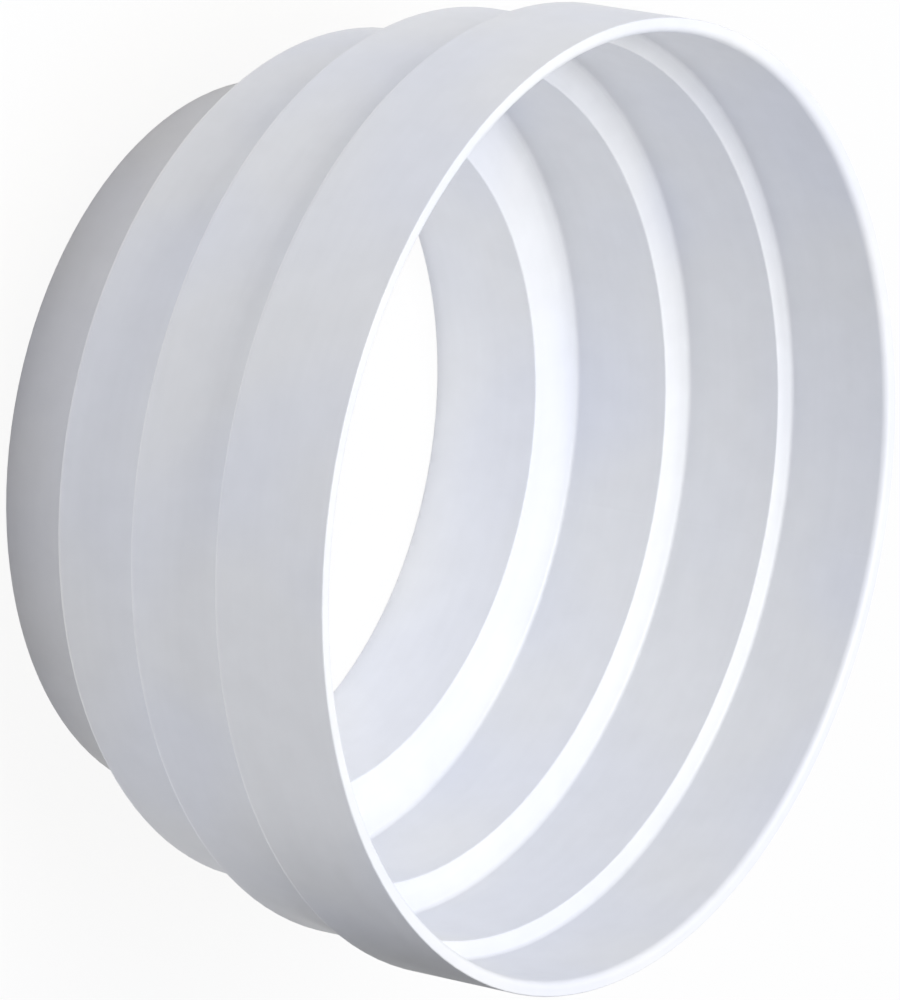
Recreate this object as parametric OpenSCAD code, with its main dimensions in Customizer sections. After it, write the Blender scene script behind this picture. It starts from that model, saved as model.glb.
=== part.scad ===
// Stepped duct reducer, moulded in one piece: four round bands on one axis,
// each narrower than the band above it, joined by shallow shoulders of the
// same wall. Ducts slide over the three lower bands, the spigots, and a pipe
// slides into the wide mouth at the top. It stands on its small end, and Z
// is the axis of the duct. Sizes are in millimetres.

/* [Bands] */
// Outside diameter of the wide mouth band
mouth_d = 166; // [165:0.5:200]
// Outside diameter of the upper spigot, next to the mouth
upper_d = 159.5; // [153:0.5:160.5]
// Outside diameter of the middle spigot
middle_d = 147.5; // [130:0.5:154]
// Outside diameter of the small spigot, at the foot
small_d = 124.5; // [80:0.5:142]
// Height of the mouth band, outside
mouth_h = 22.2; // [10:0.1:60]
// Height of each spigot, outside
spigot_h = 20; // [10:0.5:60]

/* [Wall] */
// Wall of the bands and of the shoulders between them
wall = 2.6; // [1.8:0.1:5]
// Fall of each shoulder, from its outer edge to the spigot below it
shoulder_fall = 0.7; // [0:0.1:1.5]

/* [Edges] */
// Radius that rounds the outer edges of the shoulders, outside
corner_r = 1.3; // [0.1:0.1:1.6]
// Radius that rounds the inner edges of the shoulders, above each bore
bore_edge_r = 0.3; // [0.1:0.1:1]
// Radius that fills the inward corners of the shoulders on both sides
root_r = 0.8; // [0.1:0.1:1]
// Radius of the rounded lip inside the rim, which leads a pipe in
lip_r = 1.3; // [0.1:0.1:1.4]
// Radius on the outside of the rim
rim_r = 0.25; // [0.05:0.05:0.35]
// Radius on the edges of the foot
foot_r = 0.5; // [0.1:0.1:0.8]

/* [Hidden] */

// Steps in each rounded corner, and round the whole part
corner_steps = 8;
round_steps = 360;

// Bands from the foot upwards: outside radius, inside radius and the height
// of the lower outer edge
outer_r = [small_d, middle_d, upper_d, mouth_d] / 2;
inner_r = [for (r = outer_r) r - wall];
foot_z = [for (i = [0:3]) i * spigot_h];
rim_z = foot_z[3] + mouth_h;

// Slope of the shoulder under band i, as fall over width
function slope(i) = shoulder_fall / (outer_r[i] - outer_r[i - 1]);

// Height of the shoulder under band i at radius r, on its underside or, one
// wall higher, on its top side
function underside_z(i, r) = foot_z[i] - (outer_r[i] - r) * slope(i);
function top_side_z(i, r) = underside_z(i, r) + wall * sqrt(1 + pow(slope(i), 2));

// Corners of the section as [radius, height, rounding]: up the outside from
// the foot, over the rim, and down the inside
outside = [
    [outer_r[0], 0, foot_r],
    for (i = [1:3]) each [
        [outer_r[i - 1], underside_z(i, outer_r[i - 1]), root_r],
        [outer_r[i], foot_z[i], corner_r],
    ],
    [outer_r[3], rim_z, rim_r],
];
inside = [
    [inner_r[3], rim_z, lip_r],
    for (i = [3:-1:1]) each [
        [inner_r[i], top_side_z(i, inner_r[i]), root_r],
        [inner_r[i - 1], top_side_z(i, inner_r[i - 1]), bore_edge_r],
    ],
    [inner_r[0], 0, foot_r],
];

// Points of the arc that rounds corner b of the path a, b, c to radius r
function arc(a, b, c, r) =
    let (
        to_a = (a - b) / norm(a - b),
        to_c = (c - b) / norm(c - b),
        half = acos(to_a * to_c) / 2,
        centre = b + (to_a + to_c) / norm(to_a + to_c) * r / sin(half),
        start = b + to_a * r / tan(half) - centre,
        turn = sign(cross(to_c, to_a)) * (180 - 2 * half),
        from = atan2(start.y, start.x)
    )
    [for (k = [0:corner_steps])
        let (angle = from + turn * k / corner_steps)
        centre + r * [cos(angle), sin(angle)]];

// Closed outline through the corners, each rounded by its own radius
function rounded(corners) =
    let (
        n = len(corners),
        at = [for (p = corners) [p.x, p.y]]
    )
    [for (i = [0:n - 1]) each
        arc(at[(i + n - 1) % n], at[i], at[(i + 1) % n], corners[i].z)];

// The whole moulding, one stepped wall turned about the duct's axis
module reducer_body() {
    color([0.88, 0.89, 0.91])
        rotate_extrude($fn = round_steps)
            polygon(rounded([each outside, each inside]));
}

reducer_body();
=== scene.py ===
"""The looks of a stepped duct reducer: one white ABS moulding that stands on its small end, mouth up, on a
pale studio floor under soft light. Lengths are in metres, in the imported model's own frame, with +Z up."""

import math

import bpy
from mathutils import Matrix, Vector


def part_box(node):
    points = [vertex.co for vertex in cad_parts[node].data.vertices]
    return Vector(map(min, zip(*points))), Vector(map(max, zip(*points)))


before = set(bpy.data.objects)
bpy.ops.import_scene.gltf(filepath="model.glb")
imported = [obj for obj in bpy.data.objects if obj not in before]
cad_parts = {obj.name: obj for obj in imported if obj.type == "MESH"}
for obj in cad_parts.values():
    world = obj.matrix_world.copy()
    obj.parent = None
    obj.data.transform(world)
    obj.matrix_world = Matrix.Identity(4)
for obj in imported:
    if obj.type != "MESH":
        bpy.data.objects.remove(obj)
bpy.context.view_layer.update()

MM = 0.001

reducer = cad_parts["reducer_body"]
low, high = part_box("reducer_body")
mouth_radius = (high.x - low.x) / 2
mouth_centre = Vector((0, 0, high.z))
body_centre = (low + high) / 2

# The photograph's frame, and its view as fitted to the rims and shoulders that show in it
IMAGE_SIZE_PX = (900, 1000)
MOUTH_CENTRE_PX = (620.46, 509.42)
MOUTH_RADIUS_PX = 495.15
SIGHT_TO_AXIS = math.radians(55.113)
CAMERA_ROLL = math.radians(-10.62)
CAMERA_DISTANCE = 1.6324
CAMERA_CLIP = (0.1, 50)
SENSOR_MM = 36

# Soft daylight level all round, and the share of white that each lamp adds on a face turned to it
DAYLIGHT = 0.46
DAYLIGHT_TINT = "#f5f7ff"
SOFTBOX_DISTANCE = 1.5
SOFTBOX_RADIUS = 0.5
KEY_SHARE = 0.46
KEY_AZIMUTH = math.radians(120)
KEY_ELEVATION = math.radians(68)
TOP_SHARE = 0.32
TOP_ELEVATION = math.radians(90)
# Light that comes up through the open foot, as it would where the part stands over a lit surface
FOOT_LIGHT_SHARE = 0.14
FOOT_LIGHT_RADIUS = 58 * MM
FOOT_LIGHT_HEIGHT = 1 * MM

# Grey card beside the lower left of the picture, which turns the bands darker there
CARD_X = (-50 * MM, 68 * MM)
CARD_Y = -105 * MM
CARD_Z = (25 * MM, 100 * MM)

FLOOR_SIZE = 12.0
# Part of the floor's look that is plain white to the eye. The rest takes light and shadow.
FLOOR_WHITE_SHARE = 0.92
# Painted shade: the floor round the foot is painted dimmer and warmer, in place of the shade that falls
# there under the wide bands.
# The floor is dimmer and warmer close round the foot, so that the small band turns darker and greyer than
# the others, as in the photograph. It starts under the foot's wall, this far from the axis, and the paint
# is back to plain between the two distances of the reach.
PAINTED_SHADE_START = 61 * MM
PAINTED_SHADE_REACH = (72 * MM, 100 * MM)

# Sockets of a Mix node's two colours and of its result, by number because their names repeat
COLOUR_A = 6
COLOUR_B = 7
COLOUR_RESULT = 2


def linear(hex_colour):
    """Linear RGBA of a colour written as sRGB hex."""
    channels = [int(hex_colour[i:i + 2], 16) / 255 for i in (1, 3, 5)]
    return [c / 12.92 if c <= 0.04045 else ((c + 0.055) / 1.055) ** 2.4 for c in channels] + [1.0]


def add_node(tree, kind, settings=None, inputs=None):
    """A new node with these settings. Each input is a value, or the output socket that feeds it."""
    node = tree.nodes.new(kind)
    for name, value in (settings or {}).items():
        setattr(node, name, value)
    for name, value in (inputs or {}).items():
        if isinstance(value, bpy.types.NodeSocket):
            tree.links.new(value, node.inputs[name])
        else:
            node.inputs[name].default_value = value
    return node


def empty_material(name):
    """A new material whose node tree holds nothing yet."""
    material = bpy.data.materials.new(name)
    material.use_nodes = True
    material.node_tree.nodes.clear()
    return material


def moulded_abs():
    """White ABS, injection moulded in a turned steel mould: satin, cool white, with faint rings from the
    mould's lathe marks, a fine grain, and slow waves where the skin cooled, which soften reflections."""
    material = empty_material("moulded_abs")
    tree = material.node_tree
    coords = add_node(tree, "ShaderNodeTexCoord").outputs["Object"]
    place = add_node(tree, "ShaderNodeSeparateXYZ", inputs={"Vector": coords})
    flat = add_node(
        tree, "ShaderNodeCombineXYZ", inputs={"X": place.outputs["X"], "Y": place.outputs["Y"]},
    )
    radius = add_node(tree, "ShaderNodeVectorMath", {"operation": "LENGTH"}, {0: flat.outputs["Vector"]})
    run = add_node(
        tree, "ShaderNodeMath", {"operation": "ADD"},
        {0: place.outputs["Z"], 1: radius.outputs["Value"]},
    )

    # Lathe marks, about 0.3 mm apart on the real mould and drawn 1.6 mm apart so that they show. Each mark
    # fades in and out along some 25 mm of its ring. The run climbs walls and crosses shoulders alike.
    mark_pitch = 1.6 * MM
    mark_length = 25 * MM
    ring_place = add_node(
        tree, "ShaderNodeCombineXYZ",
        inputs={"X": place.outputs["X"], "Y": place.outputs["Y"], "Z": run.outputs["Value"]},
    )
    ring_scaled = add_node(
        tree, "ShaderNodeVectorMath", {"operation": "MULTIPLY"},
        {0: ring_place.outputs["Vector"], 1: (1 / mark_length, 1 / mark_length, 1 / mark_pitch)},
    )
    marks = add_node(
        tree, "ShaderNodeTexNoise",
        inputs={"Vector": ring_scaled.outputs["Vector"], "Scale": 1.0, "Detail": 2.0},
    )

    # Grain of the eroded mould skin, finer than 0.1 mm on the real one and drawn 0.5 mm wide
    grain_size = 0.5 * MM
    grain = add_node(
        tree, "ShaderNodeTexNoise", inputs={"Vector": coords, "Scale": 1 / grain_size, "Detail": 3.0},
    )

    # Ripples that the melt leaves where it flows and sets, about 6 mm across
    ripple_size = 6 * MM
    ripples = add_node(
        tree, "ShaderNodeTexNoise", inputs={"Vector": coords, "Scale": 1 / ripple_size, "Detail": 2.0},
    )

    # Slow waves of the cooled skin, about 14 mm long
    wave_length = 14 * MM
    waves = add_node(
        tree, "ShaderNodeTexNoise", inputs={"Vector": coords, "Scale": 1 / wave_length, "Detail": 1.0},
    )

    # Pigment that isn't quite evenly mixed: drifts between a plainer and a bluish white, 28 mm across
    plain_white = "#eaebed"
    bluish_white = "#e7e9ef"
    drift_size = 28 * MM
    drift_low = 0.35
    drift_high = 0.65
    drift = add_node(
        tree, "ShaderNodeTexNoise", inputs={"Vector": coords, "Scale": 1 / drift_size, "Detail": 0.0},
    )
    blueness = add_node(
        tree, "ShaderNodeMapRange",
        inputs={"Value": drift.outputs["Fac"], "From Min": drift_low, "From Max": drift_high},
    )
    pigment = add_node(
        tree, "ShaderNodeMix", {"data_type": "RGBA"},
        {"Factor": blueness.outputs["Result"],
         COLOUR_A: linear(plain_white), COLOUR_B: linear(bluish_white)},
    )

    # The low parts of the marks and ripples are painted a little darker, a painted shade that draws them as
    # faint streaks and blotches.
    # The gloss varies a little with the marks too. Both patterns keep mostly within the span of values
    # given.
    span_low = 0.3
    span_high = 0.7
    streak_shade = 0.985
    blotch_shade = 0.972
    glossiest = 0.34
    roughest = 0.46
    streaks = add_node(
        tree, "ShaderNodeMapRange",
        inputs={"Value": marks.outputs["Fac"], "From Min": span_low, "From Max": span_high,
                "To Min": streak_shade, "To Max": 1.0},
    )
    blotches = add_node(
        tree, "ShaderNodeMapRange",
        inputs={"Value": ripples.outputs["Fac"], "From Min": span_low, "From Max": span_high,
                "To Min": blotch_shade, "To Max": 1.0},
    )
    relief_painted_shade = add_node(
        tree, "ShaderNodeMath", {"operation": "MULTIPLY"},
        {0: streaks.outputs["Result"], 1: blotches.outputs["Result"]},
    )
    tint = add_node(
        tree, "ShaderNodeVectorMath", {"operation": "SCALE"},
        {0: pigment.outputs[COLOUR_RESULT], "Scale": relief_painted_shade.outputs["Value"]},
    )
    roughness = add_node(
        tree, "ShaderNodeMapRange",
        inputs={"Value": marks.outputs["Fac"], "From Min": span_low, "From Max": span_high,
                "To Min": glossiest, "To Max": roughest},
    )

    # The four reliefs lie on top of each other, from the slowest to the finest
    relief_heights = [(waves, 0.10 * MM), (ripples, 0.03 * MM), (marks, 0.02 * MM), (grain, 0.006 * MM)]
    relief = None
    for pattern, height in relief_heights:
        inputs = {"Height": pattern.outputs["Fac"], "Distance": height, "Strength": 1.0}
        if relief:
            inputs["Normal"] = relief.outputs["Normal"]
        relief = add_node(tree, "ShaderNodeBump", inputs=inputs)

    abs_ior = 1.53
    shader = add_node(
        tree, "ShaderNodeBsdfPrincipled",
        inputs={"Base Color": tint.outputs["Vector"], "Roughness": roughness.outputs["Result"],
                "IOR": abs_ior, "Normal": relief.outputs["Normal"]},
    )
    add_node(tree, "ShaderNodeOutputMaterial", inputs={"Surface": shader.outputs["BSDF"]})
    return material


def seen_directly(tree):
    """1 on rays that show the background: straight from the camera, in a gloss or through glass."""
    path = add_node(tree, "ShaderNodeLightPath")
    either = add_node(
        tree, "ShaderNodeMath", {"operation": "MAXIMUM"},
        {0: path.outputs["Is Camera Ray"], 1: path.outputs["Is Glossy Ray"]},
    )
    return add_node(
        tree, "ShaderNodeMath", {"operation": "MAXIMUM"},
        {0: either.outputs["Value"], 1: path.outputs["Is Transmission Ray"]},
    ).outputs["Value"]


def matt_floor_paint():
    """Matt white studio paint, rolled on: shows white, and keeps the soft shadow of what stands on it.
    Round the foot the paint is dimmer and warmer, a painted shade.
    """
    plain_paint = "#e8e8e8"
    painted_shade_paint = "#e0dad0"
    material = empty_material("matt_floor_paint")
    tree = material.node_tree
    share = add_node(
        tree, "ShaderNodeMath", {"operation": "MULTIPLY"}, {0: seen_directly(tree), 1: FLOOR_WHITE_SHARE},
    )
    coords = add_node(tree, "ShaderNodeTexCoord").outputs["Object"]
    reach = add_node(tree, "ShaderNodeVectorMath", {"operation": "LENGTH"}, {0: coords})
    fade = add_node(
        tree, "ShaderNodeMapRange", {"interpolation_type": "SMOOTHSTEP"},
        {"Value": reach.outputs["Value"], "From Min": PAINTED_SHADE_REACH[0], "From Max": PAINTED_SHADE_REACH[1],
         "To Min": 1.0, "To Max": 0.0},
    )
    outside = add_node(
        tree, "ShaderNodeMath", {"operation": "GREATER_THAN"},
        {0: reach.outputs["Value"], 1: PAINTED_SHADE_START},
    )
    # Painted shade: how much of the dimmer, warmer paint lies at this place on the floor.
    painted_shade_amount = add_node(
        tree, "ShaderNodeMath", {"operation": "MULTIPLY"},
        {0: fade.outputs["Result"], 1: outside.outputs["Value"]},
    )
    colour = add_node(
        tree, "ShaderNodeMix", {"data_type": "RGBA"},
        {"Factor": painted_shade_amount.outputs["Value"], COLOUR_A: linear(plain_paint), COLOUR_B: linear(painted_shade_paint)},
    )
    paint = add_node(
        tree, "ShaderNodeBsdfPrincipled",
        inputs={"Base Color": colour.outputs[COLOUR_RESULT], "Roughness": 0.9, "Specular IOR Level": 0.2},
    )
    glow = add_node(tree, "ShaderNodeEmission", inputs={"Color": linear("#ffffff"), "Strength": 1.0})
    both = add_node(
        tree, "ShaderNodeMixShader",
        inputs={"Fac": share.outputs["Value"], 1: paint.outputs["BSDF"], 2: glow.outputs["Emission"]},
    )
    add_node(tree, "ShaderNodeOutputMaterial", inputs={"Surface": both.outputs["Shader"]})
    return material


def grey_card_paper():
    """Grey paper of a photographer's card, matt, so that it takes light away without a reflection."""
    material = empty_material("grey_card_paper")
    tree = material.node_tree
    paper = add_node(
        tree, "ShaderNodeBsdfPrincipled",
        inputs={"Base Color": linear("#9c9c9c"), "Roughness": 0.9, "Specular IOR Level": 0.1},
    )
    add_node(tree, "ShaderNodeOutputMaterial", inputs={"Surface": paper.outputs["BSDF"]})
    return material


def finish_reducer():
    """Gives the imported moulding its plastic."""
    reducer.data.materials.clear()
    reducer.data.materials.append(moulded_abs())


def make_camera():
    """A long lens in the photograph's place. The mouth's centre and size fall where they do there."""
    tilt_sin = math.sin(SIGHT_TO_AXIS)
    tilt_cos = math.cos(SIGHT_TO_AXIS)
    level = Vector((tilt_cos, 0, tilt_sin))
    across = Vector((0, 1, 0))
    right = math.cos(CAMERA_ROLL) * level - math.sin(CAMERA_ROLL) * across
    up = math.sin(CAMERA_ROLL) * level + math.cos(CAMERA_ROLL) * across
    back = right.cross(up)
    focal_px = MOUTH_RADIUS_PX / mouth_radius * CAMERA_DISTANCE
    metres_per_px = CAMERA_DISTANCE / focal_px
    offset_right = (MOUTH_CENTRE_PX[0] - IMAGE_SIZE_PX[0] / 2) * metres_per_px
    offset_down = (MOUTH_CENTRE_PX[1] - IMAGE_SIZE_PX[1] / 2) * metres_per_px
    data = bpy.data.cameras.new("camera")
    data.sensor_width = SENSOR_MM
    data.lens = focal_px / max(IMAGE_SIZE_PX) * SENSOR_MM
    data.clip_start, data.clip_end = CAMERA_CLIP
    camera = bpy.data.objects.new("camera", data)
    camera.location = mouth_centre + back * CAMERA_DISTANCE - right * offset_right + up * offset_down
    camera.rotation_mode = "QUATERNION"
    camera.rotation_quaternion = Matrix((right, up, back)).transposed().to_quaternion()
    bpy.context.scene.collection.objects.link(camera)
    bpy.context.scene.camera = camera


def make_sheet(name, corners, material):
    """A flat four-cornered piece of the stage."""
    mesh = bpy.data.meshes.new(name)
    mesh.from_pydata(corners, [], [(0, 1, 2, 3)])
    mesh.materials.append(material)
    sheet = bpy.data.objects.new(name, mesh)
    bpy.context.scene.collection.objects.link(sheet)
    return sheet


def make_stage():
    """The floor that the small end stands on, and the grey card that only light and reflections meet."""
    half = FLOOR_SIZE / 2
    floor_corners = [(-half, -half, 0), (half, -half, 0), (half, half, 0), (-half, half, 0)]
    make_sheet("floor", floor_corners, matt_floor_paint())
    (x0, x1), (z0, z1) = CARD_X, CARD_Z
    card_corners = [(x0, CARD_Y, z0), (x1, CARD_Y, z0), (x1, CARD_Y, z1), (x0, CARD_Y, z1)]
    card = make_sheet("grey_card", card_corners, grey_card_paper())
    card.visible_camera = False


def make_disc_lamp(name, place, direction, radius, energy):
    """A round lamp at this place, which lies in this direction from what it shines on."""
    data = bpy.data.lights.new(name, "AREA")
    data.shape = "DISK"
    data.size = 2 * radius
    data.energy = energy
    lamp = bpy.data.objects.new(name, data)
    lamp.location = place
    lamp.rotation_mode = "QUATERNION"
    lamp.rotation_quaternion = direction.to_track_quat("Z", "Y")
    bpy.context.scene.collection.objects.link(lamp)
    return lamp


def make_softbox(name, azimuth, elevation, share):
    """A round softbox aimed at the moulding. A white face turned to it gets this share of white, which a
    disc gives when its power is the share times pi squared times (distance squared + radius squared)."""
    direction = Vector((
        math.cos(azimuth) * math.cos(elevation),
        math.sin(azimuth) * math.cos(elevation),
        math.sin(elevation),
    ))
    energy = share * math.pi ** 2 * (SOFTBOX_DISTANCE ** 2 + SOFTBOX_RADIUS ** 2)
    make_disc_lamp(name, body_centre + direction * SOFTBOX_DISTANCE, direction, SOFTBOX_RADIUS, energy)


def make_foot_light():
    """The light through the open foot. A white face right over it would get this share of white."""
    energy = FOOT_LIGHT_SHARE * math.pi ** 2 * FOOT_LIGHT_RADIUS ** 2
    place = Vector((0, 0, FOOT_LIGHT_HEIGHT))
    lamp = make_disc_lamp("foot_light", place, Vector((0, 0, -1)), FOOT_LIGHT_RADIUS, energy)
    lamp.visible_camera = False


def make_daylight():
    """Even light from all round, shown as white wherever the background is seen."""
    world = bpy.data.worlds.new("daylight")
    world.use_nodes = True
    tree = world.node_tree
    tree.nodes.clear()
    seen = seen_directly(tree)
    strength = add_node(
        tree, "ShaderNodeMapRange", inputs={"Value": seen, "To Min": DAYLIGHT, "To Max": 1.0},
    )
    colour = add_node(
        tree, "ShaderNodeMix", {"data_type": "RGBA"},
        {"Factor": seen, COLOUR_A: linear(DAYLIGHT_TINT), COLOUR_B: linear("#ffffff")},
    )
    sky = add_node(
        tree, "ShaderNodeBackground",
        inputs={"Color": colour.outputs[COLOUR_RESULT], "Strength": strength.outputs["Result"]},
    )
    add_node(tree, "ShaderNodeOutputWorld", inputs={"Surface": sky.outputs["Background"]})
    bpy.context.scene.world = world


bpy.context.scene.view_settings.view_transform = "Standard"
finish_reducer()
make_camera()
make_stage()
make_softbox("key_softbox", KEY_AZIMUTH, KEY_ELEVATION, KEY_SHARE)
make_softbox("top_softbox", KEY_AZIMUTH, TOP_ELEVATION, TOP_SHARE)
make_foot_light()
make_daylight()
